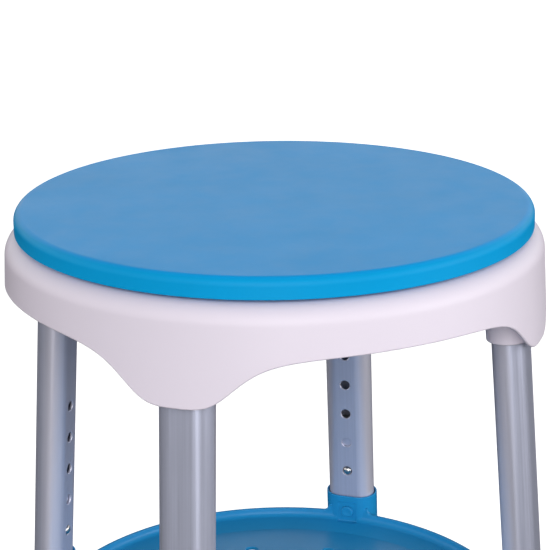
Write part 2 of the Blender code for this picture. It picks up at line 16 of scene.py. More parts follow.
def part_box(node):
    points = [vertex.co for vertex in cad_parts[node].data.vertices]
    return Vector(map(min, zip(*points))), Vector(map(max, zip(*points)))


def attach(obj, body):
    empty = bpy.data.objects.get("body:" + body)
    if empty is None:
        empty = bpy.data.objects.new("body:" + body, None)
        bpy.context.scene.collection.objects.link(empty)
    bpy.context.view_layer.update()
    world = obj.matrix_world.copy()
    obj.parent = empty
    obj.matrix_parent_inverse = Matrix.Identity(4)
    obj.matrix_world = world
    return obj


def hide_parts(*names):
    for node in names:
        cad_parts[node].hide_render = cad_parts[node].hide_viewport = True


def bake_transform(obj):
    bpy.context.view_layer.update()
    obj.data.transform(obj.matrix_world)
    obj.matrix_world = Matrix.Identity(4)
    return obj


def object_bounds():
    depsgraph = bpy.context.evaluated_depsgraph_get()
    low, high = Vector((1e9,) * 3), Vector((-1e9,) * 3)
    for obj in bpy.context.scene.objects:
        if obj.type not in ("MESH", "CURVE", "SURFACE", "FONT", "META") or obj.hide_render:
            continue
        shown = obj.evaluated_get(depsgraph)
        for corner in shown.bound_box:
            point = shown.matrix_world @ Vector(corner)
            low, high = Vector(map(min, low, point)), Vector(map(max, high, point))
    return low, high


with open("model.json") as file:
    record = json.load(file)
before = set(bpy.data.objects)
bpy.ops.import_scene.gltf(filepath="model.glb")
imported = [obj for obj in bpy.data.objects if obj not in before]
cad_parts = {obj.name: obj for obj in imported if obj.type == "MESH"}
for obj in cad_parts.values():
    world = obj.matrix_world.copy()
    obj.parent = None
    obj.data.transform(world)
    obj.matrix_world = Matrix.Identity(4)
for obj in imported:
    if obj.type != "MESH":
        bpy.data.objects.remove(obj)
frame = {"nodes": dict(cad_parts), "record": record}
cad_low, cad_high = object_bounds()

LEGS = (1, 2, 3, 4)
LEG_STEP = 2 * pi / len(LEGS)
GAP = 0.0003  # clearance that touching pieces keep
CUT_PAST = 0.002  # how far a cutter runs past the faces that it cuts
TINY = 1e-9  # a radius below this is a point
MERGE = 1e-6  # corners nearer to each other than this become one
STRAIGHT = 0.01  # a corner that turns by less than twice this angle isn't rounded
SHARP_ANGLE = radians(38)
OVAL_STEPS = 28  # on each rounded end of an oval
INSIDE = -0.004  # offset at which a sleeve closes, inside the bore that is cut through it
CUT_END = -0.005  # where the cutter of a sleeve's side hole stops, inside that bore
CAP_INSET = 0.6  # share of its half depth by which an oval solid's end is drawn in

# the camera, in a frame turned so that it looks along +Y
CAMERA_TURN = radians(-25.64)
CAMERA_DISTANCE = 1.2405
CAMERA_HEIGHT = 0.8388
CAMERA_PITCH = 0.3062
CAMERA_ROLL = -0.0147
CAMERA_LENS = 124.57  # millimetres, as the sensor
CAMERA_SENSOR = 36.0


# ---- measures of the frame


def joint(name):
    """A joint of the record, by its name."""
    return next(j for j in frame["record"]["behaviour"]["joints"] if j["name"] == name)


def mount(name):
    """A mount of the record, by its name."""
    return next(m for m in frame["record"]["mounts"] if m["name"] == name)


def leg_matrix(number):
    """A leg's frame: its sole, its slide's axis as Z and its button's axis as X."""
    along = Vector(joint(f"leg_adjust_{number}")["axis"]).normalized()
    outward = Vector(joint(f"button_press_{number}")["axis"])
    outward = (outward - along * outward.dot(along)).normalized()
    across = along.cross(outward)
    placed = Matrix((outward, across, along)).transposed().to_4x4()
    placed.translation = Vector(mount(f"foot_{number}")["pos_m"])
    return placed


LEG_FRAMES = {number: leg_matrix(number) for number in LEGS}
LEG_SPLAY = LEG_FRAMES[1].col[2].xyz.angle(Vector((0, 0, 1)))
LEG_FIRST_ANGLE = atan(LEG_FRAMES[1].translation.y / LEG_FRAMES[1].translation.x)


def extent(node, placed=Matrix.Identity(4)):
    """Lowest and highest corner of a CAD node, measured in a frame of its own."""
    inverse = placed.inverted() @ frame["nodes"][node].matrix_world
    corners = [inverse @ vertex.co for vertex in frame["nodes"][node].data.vertices]
    low = Vector([min(corner[axis] for corner in corners) for axis in range(3)])
    high = Vector([max(corner[axis] for corner in corners) for axis in range(3)])
    return low, high


def from_nearest_leg(angle):
    """An angle, counted from that of the nearest leg."""
    return (angle - LEG_FIRST_ANGLE + LEG_STEP / 2) % LEG_STEP - LEG_STEP / 2


def on_leg(stem):
    """Extent of a leg's piece in the leg's frame, taken from the first leg."""
    return extent(f"{stem}_1", LEG_FRAMES[1])


def middle_height(stem):
    """How far up its leg the middle of a piece is."""
    low, high = on_leg(stem)
    return (low.z + high.z) / 2


# ---- mesh tools


def rounded(corners, closed=False, steps=5):
    """A path through (a, b, radius) corners, with an arc of that radius at each."""
    count = len(corners)
    path = []
    for number, (a, b, radius) in enumerate(corners):
        here = Vector((a, b))
        at_end = not closed and number in (0, count - 1)
        if radius <= 0 or at_end:
            path.append((a, b))
            continue
        before = Vector(corners[number - 1][:2]) - here
        after = Vector(corners[(number + 1) % count][:2]) - here
        half = before.angle(after) / 2
        if half > pi / 2 - STRAIGHT:
            path.append((a, b))
            continue
        reach = radius / tan(half)
        middle = here + (before.normalized() + after.normalized()).normalized() * radius / sin(half)
        start = here + before.normalized() * reach - middle
        end = here + after.normalized() * reach - middle
        sweep = start.angle_signed(end)
        for step in range(steps + 1):
            turn = -sweep * step / steps
            x = middle.x + start.x * cos(turn) - start.y * sin(turn)
            y = middle.y + start.x * sin(turn) + start.y * cos(turn)
            path.append((x, y))
    return path


def bridge(edit, first, second):
    """Faces between two rings, either of which may be a single point."""
    count = max(len(first), len(second))
    for i in range(count):
        j = (i + 1) % count
        if len(first) == 1:
            edit.faces.new((first[0], second[j], second[i]))
        elif len(second) == 1:
            edit.faces.new((first[i], first[j], second[0]))
        else:
            edit.faces.new((first[i], first[j], second[j], second[i]))


def from_rings(rings, closed):
    """A bmesh through rings of points. A closed one joins its last ring to its first."""
    edit = bmesh.new()
    made = [[edit.verts.new(point) for point in ring] for ring in rings]
    for first, second in zip(made, made[1:]):
        bridge(edit, first, second)
    if closed:
        bridge(edit, made[-1], made[0])
    else:
        for end in (made[0], made[-1]):
            if len(end) > 2:
                edit.faces.new(end)
    return edit


def turned(profile, segments, closed=False):
    """A profile of (radius, height) turned about Z. A radius of 0 is a point on the axis."""
    rings = []
    for radius, height in profile:
        if radius < TINY:
            rings.append([(0, 0, height)])
            continue
        angles = [2 * pi * i / segments for i in range(segments)]
        rings.append([(radius * cos(a), radius * sin(a), height) for a in angles])
    return from_rings(rings, closed)


def rod_along_x(profile, height, segments):
    """A profile of (x, radius) turned about a line along X, at a height up a leg."""
    rings = []
    for x, radius in profile:
        if radius < TINY:
            rings.append([(x, 0, height)])
            continue
        angles = [2 * pi * (i + 0.5) / segments for i in range(segments)]
        rings.append([(x, radius * cos(a), height + radius * sin(a)) for a in angles])
    return from_rings(rings, closed=False)


def dome(start, height, radius, steps):
    """A domed end's profile of (x, radius), from its tip on the axis."""
    turns = [pi / 2 * step / steps for step in range(steps + 1)]
    return [(start + height * (1 - cos(turn)), radius * sin(turn)) for turn in turns]


def oval(half_width, half_depth):
    """Points (x, y) of an oval with flat long sides: its depth is along X, its width along Y."""
    flat = half_width - half_depth
    points = []
    for side, start in ((1, 0.0), (-1, pi)):
        for step in range(OVAL_STEPS + 1):
            angle = start + pi * step / OVAL_STEPS
            points.append((half_depth * cos(angle), side * flat + half_depth * sin(angle)))
    return points


def swept_oval(half_width, half_depth, profile, closed=True):
    """A profile of (offset, height) carried round an oval. A third value of 1 keeps it level."""
    rings = []
    for offset, height, *level in profile:
        slope = tan(LEG_SPLAY) if level and level[0] else 0.0
        points = oval(half_width + offset, half_depth + offset)
        rings.append([(x, y, height - x * slope) for x, y in points])
    return from_rings(rings, closed)


def block(low, high, rounding=0.0):
    """A box between two corners, with its edges rounded."""
    edit = bmesh.new()
    size = Vector(high) - Vector(low)
    middle = (Vector(high) + Vector(low)) / 2
    placed = Matrix.Translation(middle) @ Matrix.Diagonal((*size, 1.0))
    bmesh.ops.create_cube(edit, size=1.0, matrix=placed)
    if rounding:
        rounds = {"offset": rounding, "segments": 3, "profile": 0.5, "affect": "EDGES"}
        bmesh.ops.bevel(edit, geom=edit.edges, **rounds)
    return edit


def new_object(name, data):
    """An object of its own in the scene."""
    made = bpy.data.objects.new(name, data)
    bpy.context.collection.objects.link(made)
    return made


def as_mesh(name, edit):
    """A mesh from a bmesh, with its faces turned outward."""
    bmesh.ops.recalc_face_normals(edit, faces=edit.faces)
    mesh = bpy.data.meshes.new(name)
    edit.to_mesh(mesh)
    edit.free()
    return mesh


def applied(name, edit, steps):
    """A mesh made of one bmesh, changed by others in steps of (Boolean operation, bmeshes)."""
    body = new_object(name, as_mesh(name, in_triangles(edit)))
    tools = []
    for operation, edits in steps:
        for other in edits:
            tool = new_object("tool", as_mesh("tool", in_triangles(other)))
            step = body.modifiers.new(operation, "BOOLEAN")
            step.operation = operation
            step.solver = "MANIFOLD"
            step.object = tool
            tools.append(tool)
    bpy.context.view_layer.update()
    evaluated = body.evaluated_get(bpy.context.evaluated_depsgraph_get())
    mesh = bpy.data.meshes.new_from_object(evaluated)
    mesh.name = name
    mesh.materials.clear()
    for used in (body, *tools):
        bpy.data.objects.remove(used)
    clean = bmesh.new()
    clean.from_mesh(mesh)
    bmesh.ops.remove_doubles(clean, verts=clean.verts, dist=MERGE)
    bmesh.ops.dissolve_degenerate(clean, edges=clean.edges, dist=MERGE)
    clean.to_mesh(mesh)
    clean.free()
    return mesh


def in_triangles(edit):
    """The bmesh with its faces split into triangles, which a Boolean cuts more cleanly."""
    bmesh.ops.triangulate(edit, faces=edit.faces)
    return edit


def combined(name, edit, added=(), cut=()):
    """A mesh made of one bmesh with others united with it and others cut out of it."""
    return applied(name, edit, [("UNION", added), ("DIFFERENCE", cut)])


def moved(edit, placed):
    """The bmesh, moved by a matrix."""
    edit.transform(placed)
    return edit


def piece(name, mesh, body, slot, replaces, placed=Matrix.Identity(4), bend=None):
    """A visible piece: its mesh, smooth but for its sharp edges, on its body and in its finish.

    A piece given bend (the other body, and the points where its bend starts and ends) only has its
    place baked into its mesh, on no body; nothing here makes it flex.
    """
    if not mesh.materials:
        mesh.materials.append(FINISHES[slot])
        mesh.shade_smooth()
        mesh.set_sharp_from_angle(angle=SHARP_ANGLE)
    made = new_object(name, mesh)
    made.matrix_world = placed
    weighted = made.modifiers.new("Weighted normals", "WEIGHTED_NORMAL")
    weighted.keep_sharp = True
    bpy.context.view_layer.update()
    if bend:
        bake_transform(made)
    else:
        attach(made, body)
    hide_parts(*replaces)


def on_each_leg(stem, mesh, slot, body=None):
    """One mesh on all the legs: it replaces each leg's CAD node of that name."""
    for number in LEGS:
        rides = f"{body}_{number}" if body else "stool_frame"
        node = f"{stem}_{number}"
        piece(f"{stem}_fine_{number}", mesh, rides, slot, [node], LEG_FRAMES[number])


# ---- finishes


def add_node(tree, kind, settings=None, inputs=None):
    """A shader node with its settings, and its inputs linked or set."""
    made = tree.nodes.new(kind)
    for name, value in (settings or {}).items():
        setattr(made, name, value)
    for name, value in (inputs or {}).items():
        if isinstance(value, bpy.types.NodeSocket):
            tree.links.new(value, made.inputs[name])
        else:
            made.inputs[name].default_value = value
    return made


def noise(tree, where, scale, detail=3.0, roughness=0.55):
    """A noise texture's value, which averages a half."""
    inputs = {"Vector": where, "Scale": scale, "Detail": detail, "Roughness": roughness}
    return add_node(tree, "ShaderNodeTexNoise", inputs=inputs).outputs["Fac"]


def spread(tree, value, low, high, from_low=0.3, from_high=0.7, settings=None):
    """A value's middle range, spread over a range of its own."""
    inputs = {"Value": value, "From Min": from_low, "From Max": from_high}
    inputs |= {"To Min": low, "To Max": high}
    return add_node(tree, "ShaderNodeMapRange", settings, inputs).outputs["Result"]


def blend(tree, factor, first, second):
    """A colour between two."""
    made = add_node(tree, "ShaderNodeMix", {"data_type": "RGBA"}, {"Factor": factor})
    for socket, colour in ((made.inputs[6], first), (made.inputs[7], second)):
        if isinstance(colour, bpy.types.NodeSocket):
            tree.links.new(colour, socket)
        else:
            socket.default_value = (*colour, 1.0)
    return made.outputs[2]


def shaded(colour, amount):
    """A colour made darker or lighter."""
    return tuple(min(1.0, channel * amount) for channel in colour)


FINISHES = {}


def new_finish(name):
    """A new finish's tree, its shader and the piece's own coordinates."""
    made = bpy.data.materials.new(name)
    FINISHES[name] = made
    made.use_nodes = True
    tree = made.node_tree
    where = add_node(tree, "ShaderNodeTexCoord").outputs["Object"]
    return tree, tree.nodes["Principled BSDF"], where


def bumped(tree, shader, height, strength, depth):
    """Fine relief on a shader from a texture's value."""
    inputs = {"Strength": strength, "Distance": depth, "Height": height}
    bump = add_node(tree, "ShaderNodeBump", inputs=inputs)
    tree.links.new(bump.outputs["Normal"], shader.inputs["Normal"])


def facing(tree):
    """The surface's direction in the piece's own frame, as its X, Y and Z."""
    direction = add_node(tree, "ShaderNodeTexCoord").outputs["Normal"]
    return add_node(tree, "ShaderNodeSeparateXYZ", inputs={"Vector": direction}).outputs


def plastic(name, colour, roughness, mottle=0.05, specular=0.5, top_shine_and_painted_light=None):
    """Moulded plastic: soft flow marks in its colour, patchy gloss and a fine eroded grain.

    A piece whose upper face differs has top_shine_and_painted_light, with that face's specular and
    a lighter colour on it that is painted light, standing in for how light falls on the top.
    """
    tree, shader, where = new_finish(name)
    flow = noise(tree, where, 14.0, 4.0)
    speck = noise(tree, where, 900.0, 2.0)
    shader.inputs["Specular IOR Level"].default_value = specular
    tones = [colour]
    if top_shine_and_painted_light:
        upward = facing(tree)["Z"]
        shine = spread(tree, upward, specular, top_shine_and_painted_light["specular"], 0.7, 1.0)
        tree.links.new(shine, shader.inputs["Specular IOR Level"])
        tones.append(top_shine_and_painted_light["colour"])
    flowing = spread(tree, flow, 0.0, 1.0)
    speckled = spread(tree, speck, 0.0, 0.35)
    mottled = []
    for tone in tones:
        flowed = blend(tree, flowing, shaded(tone, 1 - mottle), shaded(tone, 1 + mottle))
        mottled.append(blend(tree, speckled, flowed, shaded(tone, 1 - 1.6 * mottle)))
    tone = mottled[0]
    # the upper face's lighter colour is painted light, not a colour of the plastic's own
    if top_shine_and_painted_light:
        tone = blend(tree, spread(tree, upward, 0.0, 1.0, 0.7, 1.0), *mottled)
    tree.links.new(tone, shader.inputs["Base Color"])
    patches = noise(tree, where, 45.0, 5.0)
    gloss = spread(tree, patches, roughness - 0.035, roughness + 0.035)
    tree.links.new(gloss, shader.inputs["Roughness"])
    bumped(tree, shader, noise(tree, where, 2200.0, 2.0), 0.35, 0.00004)


def painted_highlight_corners(tree):
    """1 on the rounded corners of a tube's side that faces along -X, and 0 elsewhere: where the
    painted highlight goes.
    """
    direction = facing(tree)
    inward = spread(tree, direction["X"], 1.0, 0.0, -0.35, 0.35)
    across = add_node(tree, "ShaderNodeMath", {"operation": "ABSOLUTE"}, {0: direction["Y"]})
    corner = spread(tree, across.outputs["Value"], 0.0, 1.0, 0.25, 0.75)
    both = add_node(tree, "ShaderNodeMath", {"operation": "MULTIPLY"}, {0: inward, 1: corner})
    return both.outputs["Value"]


def metal(name, colour, roughness, stretch, edge, metallic=1.0, pale=None):
    """Metal with fine drawn lines along the axis that the texture is stretched on.

    A tube with a painted highlight on its inner corners has that painted colour as pale.
    """
    tree, shader, where = new_finish(name)
    lines = add_node(tree, "ShaderNodeMapping", inputs={"Vector": where, "Scale": stretch})
    drawn = noise(tree, lines.outputs["Vector"], 1.0, 4.0)
    cloud = noise(tree, where, 22.0, 4.0)
    dark = shaded(colour, 0.94)
    tone = blend(tree, spread(tree, drawn, 0.0, 1.0), dark, shaded(colour, 1.06))
    tone = blend(tree, spread(tree, cloud, 0.0, 0.5), tone, dark)
    # painted highlight: a paler colour on the inner corners, standing in for light on them
    if pale:
        tone = blend(tree, painted_highlight_corners(tree), tone, pale)
    tree.links.new(tone, shader.inputs["Base Color"])
    gloss = spread(tree, drawn, roughness - 0.05, roughness + 0.05)
    tree.links.new(gloss, shader.inputs["Roughness"])
    bumped(tree, shader, drawn, 0.3, 0.00002)
    shader.inputs["Metallic"].default_value = metallic
    shader.inputs["Specular Tint"].default_value = (*edge, 1.0)


def rubber(name, colour):
    """Matt rubber with a dusty bloom in patches."""
    tree, shader, where = new_finish(name)
    bloom = noise(tree, where, 120.0, 6.0, 0.65)
    tone = blend(tree, spread(tree, bloom, 0.0, 1.0), colour, shaded(colour, 1.35))
    tree.links.new(tone, shader.inputs["Base Color"])
    gloss = spread(tree, bloom, 0.66, 0.85)
    tree.links.new(gloss, shader.inputs["Roughness"])
    bumped(tree, shader, noise(tree, where, 1600.0, 3.0), 0.5, 0.00006)


ALONG_LEG = (1100.0, 1100.0, 9.0)
ALL_WAYS = (700.0, 700.0, 700.0)
plastic(
    "seat_blue",
    (0.002, 0.335, 0.69),
    0.45,
    mottle=0.035,
    specular=0.08,
    # painted light: the top's lighter blue stands in for light on it; the higher specular is the
    # top's gloss
    top_shine_and_painted_light={"specular": 0.26, "colour": (0.001, 0.38, 0.89)},
)
plastic("base_white", (0.81, 0.74, 0.84), 0.45, mottle=0.012, specular=0.35)
plastic("tray_blue", (0.011, 0.253, 0.55), 0.38, mottle=0.05, specular=0.3)
metal(
    "anodised_aluminium",
    (0.58, 0.60, 0.74),
    0.40,
    ALONG_LEG,
    (0.4, 0.4, 0.45),
    metallic=0.6,
    # painted highlight on the legs' inner corners
    pale=(0.82, 0.80, 0.91),
)
metal("stainless_steel", (0.62, 0.61, 0.60), 0.22, ALL_WAYS, (0.8, 0.8, 0.8))
metal("brass", (0.72, 0.50, 0.20), 0.28, ALL_WAYS, (0.9, 0.8, 0.6))
plastic("grey_plastic", (0.23, 0.235, 0.25), 0.5, mottle=0.08)
plastic("natural_nylon", (0.72, 0.69, 0.60), 0.42, mottle=0.03)
rubber("grey_rubber", (0.075, 0.075, 0.08))


# ---- seat, pivot and race


SEAT_EDGE_ROUND = 0.0057
SEAT_LOWER_ROUND = 0.0009
SEAT_FLAT = 0.55  # share of the radius that is quite flat
SEAT_CROWN = 0.0001  # how far the top falls from there to the edge
SEAT_CROWN_ROUND = 0.5
SEAT_SEGMENTS = 256
SMALL_ROUND = 0.0004
RACE_HALF_WIDTH = 0.009
GROOVE_MARGIN = 0.0015  # how much wider than its race the seat's groove is, on each side
HUB_RADIUS = 0.0182
BUSH_BORE = 0.0185
BUSH_COLLAR = 0.022
BUSH_FLANGE = 0.0024
KNURLS = 20
KNURL_DEPTH = 0.0003
KNURL_MARGIN = 0.003
BOLT_SHANK = 0.0040
BOLT_HEAD_CHAMFER = 0.0009
BOLT_PITCH = 0.00125
BOLT_ROOT = 0.86  # radius of the thread's root, as a share of the shank's


def seat_disc():
    """The blue disc: flat top, rounded edge, a groove for the race and a hub below."""
    low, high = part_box("seat_disc")
    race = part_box("upper_race")[1]
    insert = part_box("hub_insert")[1]
    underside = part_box("pivot_bush")[1].z + GAP
    groove_outer = race.x + GROOVE_MARGIN
    groove_inner = race.x - 2 * RACE_HALF_WIDTH - GROOVE_MARGIN
    groove_top = race.z + GAP
    corners = [
        (0.0, high.z, 0),
        (high.x * SEAT_FLAT, high.z, SEAT_CROWN_ROUND),
        (high.x, high.z - SEAT_CROWN, SEAT_EDGE_ROUND),
        (high.x, underside, SEAT_LOWER_ROUND),
        (groove_outer, underside, SMALL_ROUND),
        (groove_outer, groove_top, SMALL_ROUND),
        (groove_inner, groove_top, SMALL_ROUND),
        (groove_inner, underside, SMALL_ROUND),
        (HUB_RADIUS, underside, SMALL_ROUND),
        (HUB_RADIUS, low.z, SMALL_ROUND),
        (insert.x + GAP, low.z, 0),
        (insert.x + GAP, insert.z + GAP, 0),
        (0.0, insert.z + GAP, 0),
    ]
    mesh = as_mesh("seat_disc", turned(rounded(corners, steps=9), SEAT_SEGMENTS))
    piece("seat_disc_fine", mesh, "swivel_seat", "seat_blue", ["seat_disc"])


def ring_corners(inner, outer, low, high):
    """A ring's plain section, as (radius, height, round) corners."""
    ends = [(inner, low), (outer, low), (outer, high), (inner, high)]
    return [(*end, SMALL_ROUND) for end in ends]


def ring_piece(node, body, slot, corners, segments=96, cut=()):
    """A turned ring in place of a CAD node, from its section's corners."""
    edit = turned(rounded(corners, closed=True), segments, closed=True)
    mesh = combined(node, edit, cut=cut) if cut else as_mesh(node, edit)
    piece(f"{node}_fine", mesh, body, slot, [node])


def pivot():
    """Bush, insert, washer and bolt in the middle of the seat."""
    low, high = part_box("pivot_bush")
    flange_low = high.z - BUSH_FLANGE
    corners = [
        (BUSH_BORE, low.z, SMALL_ROUND),
        (BUSH_COLLAR, low.z, 2 * SMALL_ROUND),
        (BUSH_COLLAR, flange_low, 0),
        (high.x, flange_low, SMALL_ROUND),
        (high.x, high.z, SMALL_ROUND),
        (BUSH_BORE, high.z, SMALL_ROUND),
    ]
    ring_piece("pivot_bush", "stool_frame", "natural_nylon", corners)

    low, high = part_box("hub_insert")
    bolt_low, bolt_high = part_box("pivot_bolt")
    washer_low, washer_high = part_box("pivot_washer")
    bore = BOLT_SHANK + GAP
    cut = []
    knurl_low = (-KNURL_DEPTH, -KNURL_DEPTH, low.z + KNURL_MARGIN)
    knurl_high = (KNURL_DEPTH, KNURL_DEPTH, high.z - KNURL_MARGIN)
    for number in range(KNURLS):
        angle = 2 * pi * number / KNURLS
        tool = block(knurl_low, knurl_high)
        place = Matrix.Translation((high.x * cos(angle), high.x * sin(angle), 0))
        cut.append(moved(tool, place @ Matrix.Rotation(angle + pi / 4, 4, "Z")))
    corners = ring_corners(bore, high.x, low.z, high.z)
    ring_piece("hub_insert", "swivel_seat", "brass", corners, 64, cut)
    corners = ring_corners(bore, washer_high.x, washer_low.z, washer_high.z)
    ring_piece("pivot_washer", "swivel_seat", "stainless_steel", corners)

    head_high = washer_low.z - GAP
    head_radius = bolt_high.x
    head = turned([(head_radius, bolt_low.z), (head_radius, head_high)], 6)
    past_head = head_radius * 1.02
    chamfer = [
        (0.0, bolt_low.z, 0),
        (head_radius * 0.86, bolt_low.z, 0.0003),
        (past_head, bolt_low.z + BOLT_HEAD_CHAMFER, 0),
        (past_head, head_high + CUT_PAST, 0),
        (0.0, head_high + CUT_PAST, 0),
    ]
    shape = turned(rounded(chamfer), 64)
    threads = int((bolt_high.z - head_high) / BOLT_PITCH)
    shank_low = head_high - 0.001
    thread_low = head_high + 2 * BOLT_PITCH
    profile = [(0.0, shank_low), (BOLT_SHANK, shank_low), (BOLT_SHANK, thread_low)]
    for number in range(2, threads):
        base = head_high + number * BOLT_PITCH
        profile.append((BOLT_SHANK * BOLT_ROOT, base + BOLT_PITCH * 0.5))
        profile.append((BOLT_SHANK, base + BOLT_PITCH * 0.9))
    profile += [(BOLT_SHANK * 0.8, bolt_high.z), (0.0, bolt_high.z)]
    steps = [("INTERSECT", [shape]), ("UNION", [turned(profile, 48)])]
    mesh = applied("pivot_bolt", head, steps)
    piece("pivot_bolt_fine", mesh, "swivel_seat", "stainless_steel", ["pivot_bolt"])


BALL_COUNT = 12
BALL_RADIUS = 0.0028
RACE_RADIUS = 0.117
TRACK_HALF_WIDTH = 0.0033
TRACK_DEPTH = 0.0012
TRACK_TAPER = 0.0002
TRACK_ROUND = 0.0009
CAGE_HALF_WIDTH = 0.0045
CAGE_HALF_HEIGHT = 0.001


def race_section(back, face):
    """Section of a race ring, with its track in its face."""
    inward = 1 if back > face else -1
    track = face + inward * TRACK_DEPTH
    return [
        (RACE_RADIUS - RACE_HALF_WIDTH, back, SMALL_ROUND),
        (RACE_RADIUS + RACE_HALF_WIDTH, back, SMALL_ROUND),
        (RACE_RADIUS + RACE_HALF_WIDTH, face, SMALL_ROUND),
        (RACE_RADIUS + TRACK_HALF_WIDTH, face, 0),
        (RACE_RADIUS + TRACK_HALF_WIDTH - TRACK_TAPER, track, TRACK_ROUND),
        (RACE_RADIUS - TRACK_HALF_WIDTH + TRACK_TAPER, track, TRACK_ROUND),
        (RACE_RADIUS - TRACK_HALF_WIDTH, face, 0),
        (RACE_RADIUS - RACE_HALF_WIDTH, face, SMALL_ROUND),
    ]


def ball_race():
    """Both race rings, and the cage with its balls."""
    low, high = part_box("lower_race")
    ring_piece("lower_race", "stool_frame", "natural_nylon", race_section(low.z, high.z), 160)
    low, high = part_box("upper_race")
    ring_piece("upper_race", "swivel_seat", "natural_nylon", race_section(high.z, low.z), 160)

    low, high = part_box("ball_cage")
    level = (low.z + high.z) / 2
    inner = RACE_RADIUS - CAGE_HALF_WIDTH
    outer = RACE_RADIUS + CAGE_HALF_WIDTH
    corners = ring_corners(inner, outer, level - CAGE_HALF_HEIGHT, level + CAGE_HALF_HEIGHT)
    ring = turned(rounded(corners, closed=True), 144, closed=True)
    balls = []
    for number in range(BALL_COUNT):
        angle = 2 * pi * (number + 0.5) / BALL_COUNT
        ball = bmesh.new()
        place = Matrix.Translation((RACE_RADIUS * cos(angle), RACE_RADIUS * sin(angle), level))
        bmesh.ops.create_icosphere(ball, subdivisions=3, radius=BALL_RADIUS, matrix=place)
        balls.append(ball)
    mesh = combined("ball_cage", ring, added=balls)
    piece("ball_cage_fine", mesh, "bearing_cage", "natural_nylon", ["ball_cage"])


# ---- white base


BASE_SEGMENTS = 360
BASE_PLATE = 0.005
BASE_WALL = 0.003
BASE_HOLE_RADIUS = 0.0223
BASE_BOSS_RADIUS = 0.030
BOSS_DROP = 0.001
RIM_START = 0.150  # a low rim under the seat's edge
RIM_DROP = 0.0011  # how far the rim is kept below the CAD's, to shade the gap to the seat
PLATE_TOP = 0.483
SHOULDER_START = 0.1683
SHOULDER_WIDTH = 0.0138
SHOULDER_HEIGHT = 0.0126
BASE_DRAFT = 0.05
ARCH_HEIGHT = 0.4515
LOBE_DROP = 0.0337
LOBE_HALF_ANGLE = radians(12.5)
LOBE_POWER = 3.8
EDGE_ROUND = 0.0013
SOCKET_WALL = 0.003
SOCKET_BOTTOM = 0.4205
SOCKET_CHAMFER = 0.0008
SOCKET_TOP_HEIGHT = 0.4782
WEB_HALF_WIDTH = 0.010
WEB_OUTER = 0.0195
WEB_TOP = 0.470
RIB_THICKNESS = 0.0025
RIB_BOTTOM = 0.4655
RIB_START = 0.026
RIB_END = 0.148
SCREW_HOLE = 0.002


def skirt_edge(angle):
    """Height of the skirt's lower edge: an arch between the legs and a lobe at each leg."""
    part = abs(from_nearest_leg(angle)) / LOBE_HALF_ANGLE
    return ARCH_HEIGHT - LOBE_DROP / (1 + part**LOBE_POWER)


def base_shell():
    """The turned shell: a low rim, a rounded shoulder and a skirt whose edge rises and falls."""
    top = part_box("seat_base")[1].z - RIM_DROP
    shoulder_low = top - SHOULDER_HEIGHT
    outer_start = SHOULDER_START + SHOULDER_WIDTH

    def wall_radius(height):
        return outer_start + BASE_DRAFT * (shoulder_low - height)

    boss_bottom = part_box("pivot_bush")[0].z - BOSS_DROP
    plate_bottom = PLATE_TOP - BASE_PLATE
    rim_slope = top - PLATE_TOP
    shoulder_steps = 16
    wall_steps = 8
    round_steps = 5
    step_angle = 2 * pi / BASE_SEGMENTS
    columns = []
    for segment in range(BASE_SEGMENTS):
        angle = segment * step_angle
        edge = skirt_edge(angle)
        rise = skirt_edge(angle + step_angle / 2) - skirt_edge(angle - step_angle / 2)
        steep = hypot(1.0, rise / (step_angle * wall_radius(edge)))
        column = [
            (BASE_HOLE_RADIUS, PLATE_TOP),
            (RIM_START * 0.5, PLATE_TOP),
            (RIM_START, PLATE_TOP),
            (RIM_START + rim_slope, top),
        ]
        for step in range(shoulder_steps + 1):
            part = pi / 2 * step / shoulder_steps
            height = shoulder_low + SHOULDER_HEIGHT * cos(part)
            column.append((SHOULDER_START + SHOULDER_WIDTH * sin(part), height))
        round_top = edge + EDGE_ROUND * steep
        for step in range(1, wall_steps + 1):
            height = shoulder_low + (round_top - shoulder_low) * step / wall_steps
            column.append((wall_radius(height), height))
        quarter = [pi / 2 * step / round_steps for step in range(1, round_steps + 1)]
        for side, start, turns in ((-1, 0.0, quarter), (1, BASE_WALL, reversed(quarter))):
            for part in turns:
                radius = wall_radius(edge) - start + side * EDGE_ROUND * (1 - cos(part))
                column.append((radius, edge + EDGE_ROUND * steep * (1 - sin(part))))
        for step in range(wall_steps + 1):
            height = round_top + (shoulder_low - round_top) * step / wall_steps
            column.append((wall_radius(height) - BASE_WALL, height))
        for step in range(1, shoulder_steps // 2 + 1):
            part = pi / 2 * (1 - 2 * step / shoulder_steps)
            radius = SHOULDER_START + (SHOULDER_WIDTH - BASE_WALL) * sin(part)
            height = shoulder_low + (plate_bottom - shoulder_low) * cos(part)
            column.append((radius, height))
        column += rounded(
            [
                (BASE_BOSS_RADIUS + 0.02, plate_bottom, 0),
                (BASE_BOSS_RADIUS, plate_bottom, 0.002),
                (BASE_BOSS_RADIUS, boss_bottom, 0.0008),
                (BASE_HOLE_RADIUS, boss_bottom, 0),
            ]
        )
        columns.append([(r * cos(angle), r * sin(angle), z) for r, z in column])
    return from_rings(list(zip(*columns)), closed=True)


